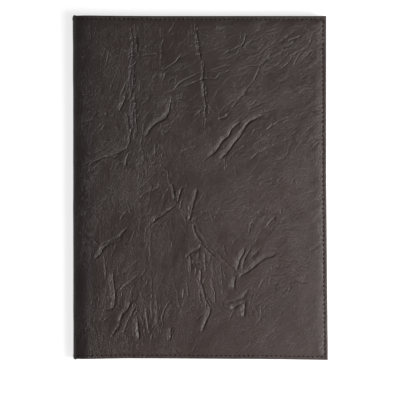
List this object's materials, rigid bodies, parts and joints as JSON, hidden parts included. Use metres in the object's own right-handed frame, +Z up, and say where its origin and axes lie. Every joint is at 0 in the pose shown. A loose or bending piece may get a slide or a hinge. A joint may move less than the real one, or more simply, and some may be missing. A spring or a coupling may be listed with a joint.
{
  "type": "leather menu cover",
  "caption": "Folding A4 portrait menu cover in turned-edge crinkled leather, soft spine, stitched edges, corner tabs inside that hold unbound sheets.",
  "frame": {"origin": "under the middle of the closed cover, on the surface that it lies on", "axes": "+X from the spine to the fore-edge, +Y from the tail to the head, +Z up out of the front cover; the cover is closed and lies on its back"},
  "size_m": [0.24, 0.3256, 0.011],
  "materials": {
    "crinkled_leather": "semi-matt, natural crinkle",
    "tab_leather": "semi-matt, smooth",
    "lining": "matt, fine grain",
    "thread": "twisted polyester thread",
    "greyboard": "matt",
    "wadding": "matt",
    "hinge_cloth": "woven"
  },
  "bodies": {
    "back_cover": {"back_outer_leather": "crinkled_leather", "back_wadding": "wadding", "back_board": "greyboard", "back_hinge_cloth": "hinge_cloth", "back_lining": "lining", "back_seam_thread_outside": "thread", "back_seam_thread_inside": "thread", "back_tab_hem_thread": "thread", "back_tab_head_fore": "tab_leather", "back_tab_head_spine": "tab_leather", "back_tab_tail_fore": "tab_leather", "back_tab_tail_spine": "tab_leather"},
    "front_cover": {"front_outer_leather": "crinkled_leather", "front_wadding": "wadding", "front_board": "greyboard", "front_hinge_cloth": "hinge_cloth", "front_lining": "lining", "front_seam_thread_outside": "thread", "front_seam_thread_inside": "thread", "front_tab_hem_thread": "thread", "front_tab_head_fore": "tab_leather", "front_tab_head_spine": "tab_leather", "front_tab_tail_fore": "tab_leather", "front_tab_tail_spine": "tab_leather"},
    "spine": {"spine_outer_leather": "crinkled_leather", "spine_hinge_cloth": "hinge_cloth", "spine_lining": "lining", "spine_seam_thread": "thread"}
  },
  "joints": [
    {"name": "back_fold", "type": "hinge", "parent": "back_cover", "child": "spine", "pos_m": [-0.11851, 0, 0.00309], "axis": [0, -1, 0], "range_deg": [0, 90]},
    {"name": "front_fold", "type": "hinge", "parent": "spine", "child": "front_cover", "pos_m": [-0.11851, 0, 0.00791], "axis": [0, -1, 0], "range_deg": [0, 90]}
  ]
}
